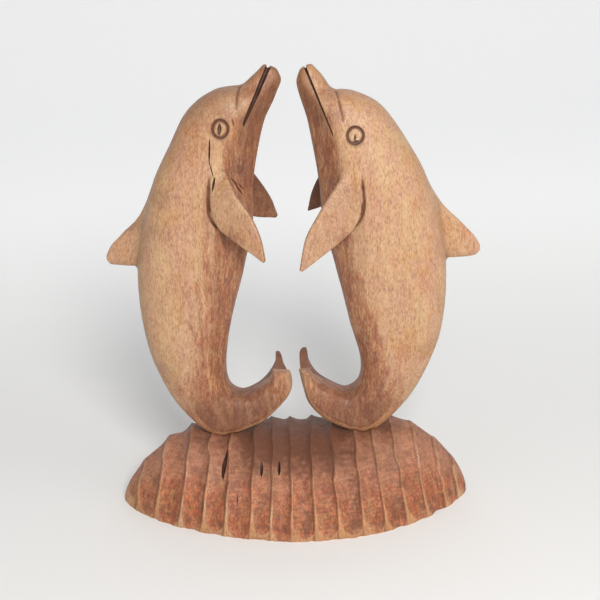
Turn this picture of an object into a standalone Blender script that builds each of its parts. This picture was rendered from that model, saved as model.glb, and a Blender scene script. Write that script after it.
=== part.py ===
"""Carved wooden pair of dolphins on a fluted mound, one piece of hardwood.

Metres, +Z up, origin at the centre of the flat underside. The two figures
stand upright face to face, the left one at -X and the right one at +X. The
carving is seen from -Y. Sizes below are in millimetres and are turned into
metres by MM.

Each body is a loft: at every station the outline gives a back point and a
belly point, both as (distance from the middle plane, height), and the section
between them is a rounded oblong of the stated half depth. The mound is a
long lens in plan with a domed section, gouged across by broad flutes.
"""

import math

import bmesh
import bpy
from mathutils import Matrix, Vector
from mathutils.bvhtree import BVHTree

MM = 0.001

# ---------------------------------------------------------------- the mound
MOUND_LENGTH = 234.5
MOUND_DEPTH = 128.0
MOUND_HEIGHT = 54.2
PLAN_POWERS = (1.8, 0.78)      # how the plan runs to a point at its ends
PLAN_LEAN = 0.04               # the right half is this much deeper, the left half shallower
BROW_LEFT = (0.55, 2.0, 0.62)  # share of the half length that is level, and how it falls
BROW_RIGHT = (0.58, 2.0, 0.57)
SADDLE = 2.0                   # the top dips this much between the tails
SADDLE_HALF = 28.0
# the ridges left between the 17 gouge cuts, along the foot: cut by eye, so uneven
RIDGES = (-107.5, -94.0, -77.0, -61.5, -46.5, -29.5, -16.0, -2.5,
          13.0, 28.5, 45.0, 59.5, 74.0, 88.0, 101.5, 111.0)
GOUGE_RADIUS = 10.5            # sweep of the gouge, which sets how deep a wide flute is
FAN = 0.12                     # the flutes spread this much towards the foot
RUNOUT_HEIGHT = 10.0           # a flute dies out within this of the foot

# ------------------------------------------------------------- the dolphins
# station: back (out, up), belly (out, up), half depth, squareness, and how much thinner
# the far half is, since the far lobe of each tail is finer than the near one
LEFT_BODY = {
    "beak_tip":   ((12.5, 295.6), (2.6, 292.2), 4.6, 2.3, 0.0),
    "beak":       ((19.2, 288.6), (1.4, 286.0), 7.0, 2.3, 0.0),
    "beak_root":  ((26.2, 283.2), (3.8, 280.0), 9.0, 2.2, 0.0),
    "melon":      ((43.5, 280.4), (6.5, 273.0), 15.0, 2.2, 0.0),
    "brow":       ((61.2, 267.8), (11.5, 261.5), 19.5, 2.3, 0.0),
    "nape":       ((73.8, 244.6), (16.5, 243.0), 23.0, 2.4, 0.0),
    "shoulder":   ((84.2, 223.0), (20.0, 222.0), 25.5, 2.5, 0.0),
    "chest":      ((92.0, 197.0), (21.5, 197.0), 27.0, 2.6, 0.0),
    "middle":     ((97.2, 165.0), (29.0, 165.0), 27.5, 2.6, 0.0),
    "belly":      ((96.0, 127.0), (38.0, 129.0), 26.0, 2.6, 0.0),
    "vent":       ((88.2, 98.0), (43.2, 101.0), 22.5, 2.5, 0.0),
    "bend":       ((74.6, 70.5), (41.2, 84.0), 17.5, 2.6, 0.0),
    "stock":      ((52.0, 49.5), (33.0, 78.2), 13.5, 2.8, 0.0),
    "rise":       ((24.6, 57.0), (23.0, 82.2), 13.5, 3.0, 0.0),
    "fluke_root": ((9.0, 69.0), (16.2, 88.8), 16.0, 3.2, 0.15),
    "fluke":      ((-0.3, 84.5), (13.0, 95.0), 18.6, 3.4, 0.5),
    "fluke_end":  ((1.6, 97.8), (11.6, 99.6), 19.6, 3.6, 0.62),
}
RIGHT_BODY = {
    "beak_tip":   ((18.6, 295.2), (9.4, 291.6), 4.6, 2.3, 0.0),
    "beak":       ((23.8, 288.2), (7.6, 285.0), 7.0, 2.3, 0.0),
    "beak_root":  ((30.4, 279.6), (8.8, 278.0), 9.5, 2.2, 0.0),
    "melon":      ((44.0, 277.2), (10.9, 270.5), 15.0, 2.2, 0.0),
    "brow":       ((60.6, 268.2), (13.7, 260.5), 19.5, 2.3, 0.0),
    "nape":       ((77.6, 243.0), (17.6, 242.0), 24.0, 2.4, 0.0),
    "shoulder":   ((87.6, 223.0), (20.0, 222.0), 26.0, 2.5, 0.0),
    "chest":      ((96.6, 198.0), (21.8, 198.0), 27.5, 2.6, 0.0),
    "middle":     ((101.6, 166.0), (29.6, 166.0), 28.0, 2.6, 0.0),
    "belly":      ((98.6, 128.0), (38.0, 129.0), 26.0, 2.6, 0.0),
    "vent":       ((90.2, 98.0), (46.0, 101.0), 22.5, 2.5, 0.0),
    "bend":       ((74.8, 70.5), (44.0, 84.8), 17.5, 2.6, 0.0),
    "stock":      ((50.0, 49.5), (35.6, 78.2), 13.5, 2.8, 0.0),
    "rise":       ((24.8, 58.2), (25.8, 82.6), 13.5, 3.0, 0.0),
    "fluke_root": ((11.2, 71.6), (17.0, 88.8), 16.0, 3.2, 0.1),
    "fluke":      ((5.8, 86.0), (12.0, 95.4), 18.6, 3.4, 0.25),
    "fluke_end":  ((4.1, 99.8), (10.4, 101.0), 19.6, 3.6, 0.35),
}
BODY_RINGS = 38
BODY_SIDES = 20
FLUKE_NOTCH_DEPTH = 15.0
FLUKE_NOTCH_HALF_WIDTH = 13.0

# dorsal fin: where it leaves the back, its point, and its lower corner
LEFT_FIN = {"top": (88.0, 210.0), "sweep": (103.0, 194.5), "tip": (116.6, 175.8),
            "heel": (116.2, 170.0), "root": (96.0, 168.0)}
RIGHT_FIN = {"top": (92.0, 216.0), "sweep": (109.0, 192.4), "tip": (122.3, 178.6),
             "heel": (122.0, 171.0), "root": (100.0, 167.6)}
FIN_ROOT_HALF = 8.0
FIN_TIP_HALF = 2.2

# flippers: leading edge root, middle, tip, then trailing edge elbow and root
LEFT_NEAR = {"lead": (37.0, 236.0), "lead_mid": (20.5, 216.0), "tip": (13.6, 182.6),
             "elbow": (51.0, 197.0), "trail": (47.5, 229.0), "out": (-14.0, -45.5)}
LEFT_FAR = {"lead": (33.0, 237.0), "lead_mid": (13.0, 215.5), "tip": (8.2, 184.2),
            "elbow": (36.0, 192.5), "trail": (46.0, 228.0), "out": (14.0, 45.0)}
RIGHT_NEAR = {"lead": (38.0, 236.0), "lead_mid": (15.0, 208.5), "tip": (7.6, 176.8),
              "elbow": (50.0, 194.5), "trail": (46.5, 229.0), "out": (-14.0, -47.0)}
RIGHT_FAR = {"lead": (33.0, 235.0), "lead_mid": (17.0, 214.0), "tip": (13.2, 190.6),
             "elbow": (34.0, 195.5), "trail": (46.0, 227.0), "out": (14.0, 43.0)}
FLIPPER_ROOT_HALF = 4.6
FLIPPER_TIP_HALF = 1.3
FLIPPER_SPLAY = 5.0            # the leading edge stands out this much more

# mouth: from beyond the tip, middle, corner; width and depth of the cut
LEFT_MOUTH = {"line": ((7.2, 298.5), (17.0, 278.6), (25.2, 260.6)), "width": 1.7, "depth": 3.2}
RIGHT_MOUTH = {"line": ((12.0, 297.0), (21.2, 275.0), (29.4, 253.8)), "width": 1.1, "depth": 2.4}

LEFT_EYE = (39.0, 260.6)
RIGHT_EYE = (42.6, 254.8)
EYE_RING_RADIUS = 5.2
EYE_RING_GROOVE = 1.1

WOOD_COLOUR = (0.46, 0.21, 0.105, 1.0)
WOOD_ROUGHNESS = 0.55


# ------------------------------------------------------------------ helpers
def clear_scene():
    for obj in list(bpy.data.objects):
        bpy.data.objects.remove(obj, do_unlink=True)


def smooth_row(rows, knots, t):
    """A row between the rows of a table, on a smooth curve through them all."""
    i = 0
    while i < len(knots) - 2 and t > knots[i + 1]:
        i += 1
    span = knots[i + 1] - knots[i]
    f = (t - knots[i]) / span

    def slope(k):
        a, b = max(k - 1, 0), min(k + 1, len(rows) - 1)
        return [(q - p) / (knots[b] - knots[a]) for p, q in zip(rows[a], rows[b])]

    m0, m1 = slope(i), slope(i + 1)
    h00 = 2 * f**3 - 3 * f**2 + 1
    h10 = f**3 - 2 * f**2 + f
    h01 = -2 * f**3 + 3 * f**2
    h11 = f**3 - f**2
    return [
        h00 * p + h10 * span * s0 + h01 * q + h11 * span * s1
        for p, q, s0, s1 in zip(rows[i], rows[i + 1], m0, m1)
    ]


def bezier(points, t):
    points = [Vector(p) for p in points]
    while len(points) > 1:
        points = [a.lerp(b, t) for a, b in zip(points, points[1:])]
    return points[0]


def signed_power(value, power):
    return math.copysign(abs(value) ** power, value)


def oblong(sides, n):
    """Unit superellipse, x from +1 round to +1."""
    ring = []
    for k in range(sides):
        a = 2 * math.pi * k / sides
        ring.append((signed_power(math.cos(a), 2 / n), signed_power(math.sin(a), 2 / n)))
    return ring


def loft(name, rings, collection):
    """A closed skin over rings of equal count, its two ends capped."""
    bm = bmesh.new()
    made = [[bm.verts.new(p * MM) for p in ring] for ring in rings]
    sides = len(rings[0])
    for a, b in zip(made, made[1:]):
        for k in range(sides):
            j = (k + 1) % sides
            bm.faces.new((a[k], a[j], b[j], b[k]))
    bm.faces.new(list(reversed(made[0])))
    bm.faces.new(made[-1])
    bmesh.ops.recalc_face_normals(bm, faces=bm.faces[:])
    bmesh.ops.triangulate(bm, faces=[f for f in bm.faces if len(f.verts) > 3])
    mesh = bpy.data.meshes.new(name)
    bm.to_mesh(mesh)
    bm.free()
    obj = bpy.data.objects.new(name, mesh)
    collection.objects.link(obj)
    return obj


# ---------------------------------------------------------------- the mound
def mound_half_depth(t):
    lens = max(0.0, 1 - abs(t) ** PLAN_POWERS[0]) ** PLAN_POWERS[1]
    return MOUND_DEPTH / 2 * lens * (1 + PLAN_LEAN * math.sin(math.pi * t))


def mound_height(t):
    start, bend, fall = BROW_RIGHT if t > 0 else BROW_LEFT
    s = max(0.0, (abs(t) - start) / (1 - start))
    dip = SADDLE * math.exp(-((t * MOUND_LENGTH / 2 / SADDLE_HALF) ** 2))
    return MOUND_HEIGHT * max(0.0, 1 - s**bend) ** fall - dip


def mound_columns():
    """Where the sections stand along the length: four to each flute, and its depth there."""
    half = MOUND_LENGTH / 2
    marks = []
    for left, right in zip((-half,) + RIDGES, RIDGES + (half,)):
        width = right - left
        for s in (0.0, 0.22, 0.5, 0.78):
            x = left + s * width
            marks.append((x / half, (1 - (2 * s - 1) ** 2) * width**2 / (8 * GOUGE_RADIUS)))
    return [m for m in marks if abs(m[0]) < 0.985]


def build_mound(collection):
    rows = 22
    rings = []
    half = MOUND_LENGTH / 2
    columns = [(-0.992, 0.0)] + mound_columns() + [(0.992, 0.0)]
    for t, cut in columns:
        b, h = mound_half_depth(t), mound_height(t)
        room = min(1.0, (1 - abs(t)) / 0.06)
        ring = []
        for r in range(rows + 1):
            a = math.pi * r / rows
            rise = math.sin(a)
            fade = max(0.0, 1 - h * rise / RUNOUT_HEIGHT)
            deep = room * max(0.0, cut - 2.6 * fade)
            y = -(b - deep * abs(math.cos(a))) * math.cos(a)
            z = max(0.0, (h - deep) * rise)
            spread = 1 - FAN * rise * (1 - abs(t) ** 6)
            ring.append(Vector((t * half * spread, y, z)))
        rings.append(ring)
    return loft("mound_form", rings, collection)


# ------------------------------------------------------------- the dolphins
def body_rows(stations):
    rows = [[*back, *belly, *more] for back, belly, *more in stations.values()]
    knots = [0.0]
    for p, q in zip(rows, rows[1:]):
        step = (math.hypot(q[0] - p[0], q[1] - p[1]) + math.hypot(q[2] - p[2], q[3] - p[3])) / 2
        knots.append(knots[-1] + step)
    return rows, knots


def body_ring(row, side, grow=1.0):
    back = Vector((side * row[0], 0, row[1]))
    belly = Vector((side * row[2], 0, row[3]))
    centre, reach = (back + belly) / 2, (back - belly) / 2
    ring = []
    for c, s in oblong(BODY_SIDES, row[5]):
        c = (c + 1) * (1 - row[6] * max(0.0, min(1.0, 1.5 * s))) - 1
        ring.append(centre + reach * c * grow + Vector((0, row[4] * s * grow, 0)))
    return ring


def build_body(name, stations, side, collection):
    rows, knots = body_rows(stations)
    rings = []
    tip = body_ring(rows[0], side, 0.55)
    lift = Vector((0, 0, 1.6))
    rings.append([p + lift for p in tip])
    for k in range(BODY_RINGS + 1):
        rings.append(body_ring(smooth_row(rows, knots, knots[-1] * k / BODY_RINGS), side))
    obj = loft(name, rings, collection)
    return obj


def fluke_notch(name, stations, side, collection):
    """The wedge that parts the two lobes of the tail."""
    back, belly = stations["fluke_end"][:2]
    top = max(back[1], belly[1]) + 6
    low = top - 6 - FLUKE_NOTCH_DEPTH
    wide = FLUKE_NOTCH_HALF_WIDTH * (top - low) / FLUKE_NOTCH_DEPTH
    rings = []
    for x in (-8.0, 30.0):
        rings.append([
            Vector((side * x, -1.0, low)), Vector((side * x, 1.0, low)),
            Vector((side * x, wide, top)), Vector((side * x, -wide, top)),
        ])
    return loft(name, rings, collection)


def build_fin(name, fin, side, collection):
    """Dorsal fin: upright sections from inside the back out to the point."""
    rings = []
    steps = 7
    for k in range(steps + 1):
        t = k / steps
        top = bezier((fin["top"], fin["sweep"], fin["tip"]), t)
        low = bezier((fin["root"], fin["heel"]), t)
        if k == 0:
            top, low = top - Vector((10, -2)), low - Vector((12, -2))
        half = FIN_ROOT_HALF + (FIN_TIP_HALF - FIN_ROOT_HALF) * t**0.8
        rings.append([
            Vector((side * (low.x + (top.x - low.x) * (1 + c) / 2), half * s,
                    low.y + (top.y - low.y) * (1 + c) / 2))
            for c, s in oblong(12, 2.4)
        ])
    return loft(name, rings, collection)


def build_flipper(name, flipper, side, collection):
    """Flipper: flat rounded sections from inside the body out to the point."""
    rings = []
    steps = 8
    y0, y1 = flipper["out"]
    outward = math.copysign(1, y1)
    for k in range(steps + 1):
        t = (k / steps) * 0.97
        lead = bezier((flipper["lead"], flipper["lead_mid"], flipper["tip"]), t)
        trail = bezier((flipper["trail"], flipper["elbow"], flipper["tip"]), t)
        y = y0 + (y1 - y0) * t**0.9
        a = Vector((side * lead.x, y + outward * FLIPPER_SPLAY * (1 - t) / 2, lead.y))
        b = Vector((side * trail.x, y - outward * FLIPPER_SPLAY * (1 - t) / 2, trail.y))
        span = (a - b) / 2
        across = span.cross(Vector((side * (flipper["tip"][0] - flipper["lead"][0]), y1 - y0,
                                    flipper["tip"][1] - flipper["lead"][1]))).normalized()
        half = FLIPPER_ROOT_HALF + (FLIPPER_TIP_HALF - FLIPPER_ROOT_HALF) * t
        rings.append([(a + b) / 2 + span * c + across * half * s for c, s in oblong(12, 2.6)])
    return loft(name, rings, collection)


# ------------------------------------------------------------------ carving
def skin_of(obj):
    bm = bmesh.new()
    bm.from_mesh(obj.data)
    tree = BVHTree.FromBMesh(bm)
    bm.free()
    return tree


def skin_point(tree, x, z, face):
    """Where the skin is met, coming from the near side (-1) or the far side (+1)."""
    start = Vector((x * MM, face * 0.2, z * MM))
    place, normal, _, _ = tree.ray_cast(start, Vector((0, -face, 0)))
    return (place / MM, normal) if place else (None, None)


def mouth_cut(name, mouth, side, face, tree, collection):
    """A tapering slit that follows the jaw line, sunk a set depth below the skin."""
    rings = []
    steps = 9
    last = 4.0 * face
    for k in range(steps + 1):
        t = k / steps
        at = bezier(mouth["line"], t)
        ahead = bezier(mouth["line"], min(1.0, t + 0.02)) - bezier(mouth["line"], max(0.0, t - 0.02))
        across = Vector((side * -ahead.y, 0, ahead.x)).normalized()
        place, _ = skin_point(tree, side * at.x, at.y, face)
        if place:
            last = place.y
        deep = mouth["depth"] * (1 - 0.6 * t) + (6.0 if t < 0.15 else 0.0)
        inner = last - face * deep
        outer = last + face * 8
        centre = Vector((side * at.x, 0, at.y))
        wide, fine = mouth["width"] * (0.9 + 0.3 * (1 - t)), mouth["width"] * 0.35
        rings.append([
            centre + across * wide + Vector((0, outer, 0)),
            centre - across * wide + Vector((0, outer, 0)),
            centre - across * fine + Vector((0, inner, 0)),
            centre + across * fine + Vector((0, inner, 0)),
        ])
    return loft(name, rings, collection)


def eye_cut(name, eye, side, face, tree, collection):
    place, normal = skin_point(tree, side * eye[0], eye[1], face)
    bpy.ops.mesh.primitive_torus_add(
        major_radius=EYE_RING_RADIUS * MM, minor_radius=EYE_RING_GROOVE * MM,
        major_segments=20, minor_segments=6)
    obj = bpy.context.object
    obj.name = name
    turn = normal.to_track_quat("Z", "Y").to_matrix().to_4x4()
    obj.data.transform(Matrix.Translation((place + normal * 0.15) * MM) @ turn)
    for owner in list(obj.users_collection):
        owner.objects.unlink(obj)
    collection.objects.link(obj)
    return obj


# ----------------------------------------------------------------- assembly
def wood():
    material = bpy.data.materials.new("carved_hardwood")
    material.use_nodes = True
    shader = material.node_tree.nodes["Principled BSDF"]
    shader.inputs["Base Color"].default_value = WOOD_COLOUR
    shader.inputs["Roughness"].default_value = WOOD_ROUGHNESS
    shader.inputs["Metallic"].default_value = 0.0
    material.diffuse_color = WOOD_COLOUR
    return material


def boolean(obj, other, operation):
    modifier = obj.modifiers.new(operation.lower() + "_" + other.name, "BOOLEAN")
    modifier.operation = operation
    modifier.object = other
    modifier.solver = "EXACT"


def main():
    clear_scene()
    scene = bpy.context.scene
    parts = bpy.data.collections.new("wooden_dolphin_sculpture")
    helpers = bpy.data.collections.new("carving_helpers")
    scene.collection.children.link(parts)
    scene.collection.children.link(helpers)

    mound = build_mound(helpers)
    pair = bpy.data.objects.new("dolphin_pair", mound.data.copy())
    parts.objects.link(pair)
    bpy.data.objects.remove(mound, do_unlink=True)
    pair.data.materials.append(wood())

    joined, cut = [], []
    for label, side, body, fin, near, far, mouth, eye in (
        ("left", -1, LEFT_BODY, LEFT_FIN, LEFT_NEAR, LEFT_FAR, LEFT_MOUTH, LEFT_EYE),
        ("right", 1, RIGHT_BODY, RIGHT_FIN, RIGHT_NEAR, RIGHT_FAR, RIGHT_MOUTH, RIGHT_EYE),
    ):
        trunk = build_body(label + "_body", body, side, helpers)
        joined.append(trunk)
        joined.append(build_fin(label + "_fin", fin, side, helpers))
        joined.append(build_flipper(label + "_near_flipper", near, side, helpers))
        joined.append(build_flipper(label + "_far_flipper", far, side, helpers))
        cut.append(fluke_notch(label + "_fluke_notch", body, side, helpers))
        tree = skin_of(trunk)
        for face_name, face in (("near", -1), ("far", 1)):
            cut.append(mouth_cut(f"{label}_{face_name}_mouth", mouth, side, face, tree, helpers))
            cut.append(eye_cut(f"{label}_{face_name}_eye", eye, side, face, tree, helpers))

    for other in joined:
        boolean(pair, other, "UNION")
    for other in cut:
        boolean(pair, other, "DIFFERENCE")
    for other in joined + cut:
        other.hide_render = True
        other.display_type = "WIRE"

    pair.data.shade_smooth()
    pair.data.set_sharp_from_angle(angle=math.radians(40))


main()
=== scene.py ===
"""The look of a carved hardwood pair of dolphins on a fluted mound.

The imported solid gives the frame; one finely carved mesh stands for it. Sizes
below are in millimetres, turned into metres by MM. The figures stand face to
face, the left one at -X and the right one at +X, and are seen from -Y.
"""

import math

import bmesh
import bpy
import numpy as np
from mathutils import Matrix, Vector
from mathutils.bvhtree import BVHTree


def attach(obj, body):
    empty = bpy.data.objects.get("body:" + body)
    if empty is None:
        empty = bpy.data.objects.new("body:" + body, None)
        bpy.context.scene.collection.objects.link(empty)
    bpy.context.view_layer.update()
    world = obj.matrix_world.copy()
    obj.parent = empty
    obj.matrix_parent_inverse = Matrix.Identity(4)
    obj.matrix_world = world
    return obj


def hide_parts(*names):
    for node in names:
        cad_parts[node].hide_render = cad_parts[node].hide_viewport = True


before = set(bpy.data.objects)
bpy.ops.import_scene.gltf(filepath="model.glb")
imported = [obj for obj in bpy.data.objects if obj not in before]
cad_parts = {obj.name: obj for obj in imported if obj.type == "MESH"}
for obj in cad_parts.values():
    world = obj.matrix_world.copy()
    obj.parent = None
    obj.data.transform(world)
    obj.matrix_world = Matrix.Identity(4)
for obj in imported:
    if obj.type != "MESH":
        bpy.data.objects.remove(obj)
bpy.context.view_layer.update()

MM = 0.001

# ------------------------------------------------------------------- camera
AIM = Vector((0.0066, 0.0, 0.142))
DISTANCE = 0.85
ELEVATION = math.radians(20.0)
ROLL = math.radians(1.5)
LENS = 78.46
FOCAL = 600 * LENS / 36.0

look = Vector((0, math.cos(ELEVATION), -math.sin(ELEVATION)))
level = Vector((1, 0, 0))
rise = Vector((0, math.sin(ELEVATION), math.cos(ELEVATION)))
right = level * math.cos(ROLL) - rise * math.sin(ROLL)
up = rise * math.cos(ROLL) + level * math.sin(ROLL)
eye_point = AIM - look * DISTANCE

camera_data = bpy.data.cameras.new("camera")
camera_data.lens = LENS
camera_data.sensor_width = 36.0
camera = bpy.data.objects.new("camera", camera_data)
turn = Matrix((right, up, -look)).transposed().to_4x4()
camera.matrix_world = Matrix.Translation(eye_point) @ turn
bpy.context.scene.collection.objects.link(camera)
bpy.context.scene.camera = camera


def seen_ray(px, py):
    """From the camera through a point of the 600 by 600 frame."""
    return eye_point, (look + right * ((px - 300) / FOCAL) - up * ((py - 300) / FOCAL)).normalized()


# ---------------------------------------------------------------- the mound
MOUND_LENGTH = 234.5
MOUND_DEPTH = 128.0
MOUND_HEIGHT = 54.2
PLAN_POWERS = (2.0, 0.72)
PLAN_LEAN = 0.035
BROW_LEFT = (0.575, 2.0, 0.61)
BROW_RIGHT = (0.62, 2.0, 0.55)
SADDLE = 3.0
SADDLE_HALF = 28.0
RIDGES = (-107.5, -94.0, -77.0, -61.5, -46.5, -29.5, -16.0, -2.5,
          13.0, 28.5, 45.0, 59.5, 74.0, 88.0, 101.5, 111.0)
GOUGE_RADIUS = 10.0
GOUGE_LEAN = 0.26              # the gouge bites deeper on the +X side of a flute
FAN = 0.12
RUNOUT = ((27.0, 1.05), (8.0, 1.9))   # a flute shallows below these heights, by this much

# ------------------------------------------------------------- the dolphins
# station: back (out, up), belly (out, up), half depth, squareness, thinning of the far half,
# width of the flat cut along the belly edge, width of the chamfer along the back edge
LEFT_BODY = {
    "beak_tip":   ((12.7, 294.8), (3.2, 291.4), 4.6, 2.3, 0.0, 0, 0),
    "beak":       ((19.2, 288.6), (1.4, 286.0), 7.0, 2.4, 0.0, 4, 0),
    "beak_root":  ((26.2, 283.2), (3.7, 280.0), 9.0, 2.4, 0.0, 7, 0),
    "melon":      ((43.5, 280.4), (6.5, 273.0), 15.0, 2.2, 0.0, 12, 0),
    "brow":       ((60.6, 267.4), (11.4, 261.5), 19.5, 2.3, 0.0, 18, 0),
    "nape":       ((73.3, 244.6), (16.2, 243.0), 23.0, 2.4, 0.0, 21, 0),
    "shoulder":   ((84.3, 223.0), (20.0, 222.0), 25.5, 2.5, 0.0, 23, 0),
    "chest":      ((92.0, 197.0), (21.5, 197.0), 27.0, 2.6, 0.0, 23, 0),
    "middle":     ((97.0, 165.0), (28.7, 165.0), 27.5, 2.6, 0.0, 19, 0),
    "belly":      ((95.2, 127.0), (38.5, 129.0), 26.0, 2.6, 0.0, 13, 0),
    "vent":       ((88.2, 98.0), (43.2, 101.0), 22.5, 2.6, 0.0, 8, 2),
    "bend":       ((74.6, 70.5), (41.2, 84.0), 17.5, 2.8, 0.0, 4, 5),
    "stock":      ((52.0, 49.5), (33.0, 78.2), 13.5, 3.2, 0.0, 0, 5.4),
    "rise":       ((24.6, 57.0), (23.0, 82.2), 13.5, 3.8, 0.1, 0, 2.2),
    "fluke_root": ((10.2, 69.8), (16.2, 88.8), 16.0, 4.6, 0.35, 0, 1.3),
    "fluke":      ((0.4, 84.8), (13.0, 95.0), 18.6, 6.5, 0.55, 0, 2.8),
    "fluke_end":  ((1.6, 97.8), (12.3, 100.2), 19.6, 8.0, 0.62, 0, 3.8),
    "fluke_over": ((2.0, 103.0), (12.0, 105.0), 19.6, 8.0, 0.62, 0, 4.5),
}
RIGHT_BODY = {
    "beak_tip":   ((18.2, 294.4), (9.6, 290.8), 4.6, 2.3, 0.0, 0, 0),
    "beak":       ((23.8, 288.2), (7.7, 285.0), 7.0, 2.4, 0.0, 4, 0),
    "beak_root":  ((30.4, 279.6), (8.7, 278.0), 9.5, 2.4, 0.0, 7, 0),
    "melon":      ((44.0, 277.2), (10.9, 270.5), 15.0, 2.2, 0.0, 11, 0),
    "brow":       ((60.4, 268.0), (13.7, 260.5), 19.5, 2.3, 0.0, 15, 0),
    "nape":       ((77.6, 243.0), (17.0, 242.0), 24.0, 2.4, 0.0, 17, 0),
    "shoulder":   ((88.2, 223.0), (20.0, 222.0), 26.0, 2.5, 0.0, 15, 0),
    "chest":      ((96.6, 198.0), (22.3, 198.0), 27.5, 2.6, 0.0, 12, 0),
    "middle":     ((100.9, 166.0), (29.9, 166.0), 28.0, 2.6, 0.0, 11, 0),
    "belly":      ((99.1, 128.0), (38.3, 129.0), 26.0, 2.6, 0.0, 10, 0),
    "vent":       ((90.3, 98.2), (45.4, 101.0), 22.5, 2.6, 0.0, 7, 4),
    "bend":       ((74.2, 70.5), (44.0, 84.8), 17.5, 2.8, 0.0, 4, 6),
    "stock":      ((50.0, 49.5), (35.6, 78.2), 13.5, 3.2, 0.0, 0, 7),
    "rise":       ((24.6, 57.8), (25.8, 82.6), 13.5, 3.8, 0.05, 0, 5.5),
    "fluke_root": ((11.3, 71.5), (17.0, 88.8), 16.0, 4.6, 0.15, 0, 4.5),
    "fluke":      ((6.5, 86.3), (12.4, 95.4), 18.6, 6.5, 0.22, 0, 4.0),
    "fluke_end":  ((4.1, 99.8), (12.0, 101.0), 19.6, 8.0, 0.3, 0, 3.0),
    "fluke_over": ((3.7, 104.6), (9.6, 105.6), 19.6, 8.0, 0.3, 0, 3.0),
}
BODY_RINGS = 300
BODY_SIDES = 120
FLUKE_NOTCH_DEPTH = 15.0
FLUKE_NOTCH_HALF_WIDTH = 13.0
FAR_LOBE_LEAN = {"left": -0.5, "right": 0.4}     # which edge of the far lobe the thinning keeps
LOBE_TOPS = {"left": (98.2, 97.6), "right": (97.4, 99.9)}    # the sawn ends of the near and far lobes
LOBE_TOP_SLOPE = 0.156

# fins: the upper and the lower edge from root to tip as (out, up)
LEFT_FIN = {"top": ((83.0, 224.0), (92.4, 206.8), (98.7, 198.0), (106.2, 189.6), (113.0, 182.7), (116.6, 176.4)),
            "low": ((84.0, 167.0), (96.0, 168.4), (103.0, 168.9), (109.0, 169.5), (114.2, 170.2), (116.6, 173.0))}
RIGHT_FIN = {"top": ((86.4, 224.0), (98.2, 207.2), (105.7, 197.6), (112.2, 190.4), (118.8, 183.4), (122.8, 176.8)),
             "low": ((90.0, 167.2), (101.2, 168.5), (108.0, 168.7), (114.5, 169.0), (119.9, 170.1), (122.8, 173.0))}
FIN_ROOT_HALF = 8.0
FIN_TIP_HALF = 2.2

# flippers: the two long edges from root to tip as (out, up, towards the back)
LEFT_NEAR = {"lead": ((38.6, 245.0, -12.0), (36.0, 235.0, -18.5), (30.8, 223.0, -30.0), (22.0, 211.0, -37.0),
                      (16.1, 198.2, -42.0), (13.6, 184.6, -45.5)),
             "trail": ((45.0, 241.0, -17.5), (46.2, 228.5, -21.8), (46.7, 213.0, -26.6), (42.4, 201.6, -31.6),
                       (32.3, 194.4, -37.6), (14.8, 182.6, -45.5))}
LEFT_FAR = {"lead": ((33.0, 237.0, 14.0), (21.9, 222.0, 25.4), (11.7, 203.8, 35.3), (7.2, 187.6, 45.0)),
            "trail": ((46.0, 228.0, 14.0), (38.6, 207.7, 25.4), (25.6, 190.2, 35.3), (8.0, 184.8, 45.0))}
RIGHT_NEAR = {"lead": ((37.4, 245.0, -15.0), (34.6, 233.0, -20.3), (29.2, 223.4, -25.0), (19.6, 210.4, -34.0),
                       (11.0, 196.4, -41.0), (6.7, 178.2, -47.0)),
              "trail": ((44.8, 243.0, -18.5), (45.4, 228.5, -21.9), (46.0, 212.8, -25.2), (42.4, 201.0, -31.0),
                        (31.2, 191.8, -38.0), (8.2, 177.0, -47.0))}
RIGHT_FAR = {"lead": ((33.0, 235.0, 14.0), (22.9, 221.3, 24.7), (16.5, 206.2, 34.0), (13.2, 190.6, 43.0)),
             "trail": ((46.0, 227.0, 14.0), (37.1, 209.1, 24.7), (26.3, 196.6, 34.0), (14.2, 189.6, 43.0))}
FLIPPER_ROOT_HALF = 3.8
FLIPPER_TIP_HALF = 1.3

LEFT_MOUTH = {"line": ((7.2, 298.5), (17.0, 278.6), (25.2, 260.6)), "width": 1.35, "depth": 3.4}
RIGHT_MOUTH = {"line": ((12.0, 297.0), (21.2, 275.0), (29.4, 253.8)), "width": 0.6, "depth": 2.2}

LEFT_EYE = (39.0, 260.6)
RIGHT_EYE = (42.6, 254.8)

# shallow lines cut with a veiner: points (out, up), half width, depth
LEFT_BROW_LINE = ((25.8, 284.6), (28.1, 280.0), (29.0, 271.0))
RIGHT_BROW_LINE = ((31.8, 279.6), (33.6, 274.0), (35.7, 261.8))
LEFT_FLIPPER_LINE = ((46.2, 234.0), (47.5, 225.0), (48.1, 213.0), (46.8, 204.8), (41.6, 199.4), (35.0, 195.8))
RIGHT_FLIPPER_LINE = ((46.0, 231.0), (46.7, 224.0), (47.3, 215.0), (46.6, 207.4), (44.2, 201.6), (40.0, 197.6), (34.4, 193.8))

# where the red stain begins, from the belly side: (up, out)
LEFT_STAIN = ((40, 70), (60, 66), (80, 66), (95, 66), (110, 63), (128, 59), (150, 53), (175, 50), (197, 47),
              (222, 43), (236, 37), (245, 34), (258, 27), (270, 20), (284, 12), (300, 6))
RIGHT_STAIN = ((40, 66), (60, 66), (80, 66), (100, 62), (118, 57), (150, 48), (177, 37), (197, 33), (222, 33),
               (236, 33), (245, 32), (258, 27), (270, 21), (284, 14), (300, 9))

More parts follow.
